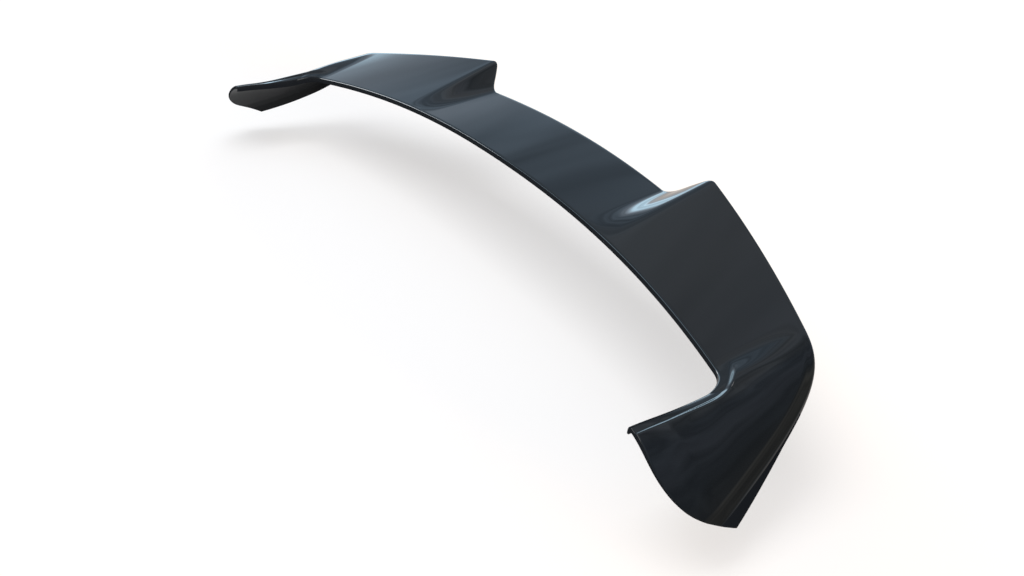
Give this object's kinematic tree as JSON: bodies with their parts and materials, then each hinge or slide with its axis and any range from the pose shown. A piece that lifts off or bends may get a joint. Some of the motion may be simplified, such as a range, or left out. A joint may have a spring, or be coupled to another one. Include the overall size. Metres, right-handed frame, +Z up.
{
  "type": "roof spoiler extension",
  "caption": "Thin moulded shell that lies along a car's roof spoiler, with a raised step towards each end and a cheek at each end running forward and down.",
  "frame": {"origin": "on the centre line, at the lower edge of the lip along the leading edge", "axes": "+X across the car, +Y rearward, +Z up"},
  "size_m": [1.232, 0.3048, 0.1463],
  "materials": {
    "gloss_shell": "gloss"
  },
  "bodies": {
    "root": {"spoiler_shell": "gloss_shell"}
  },
  "joints": []
}
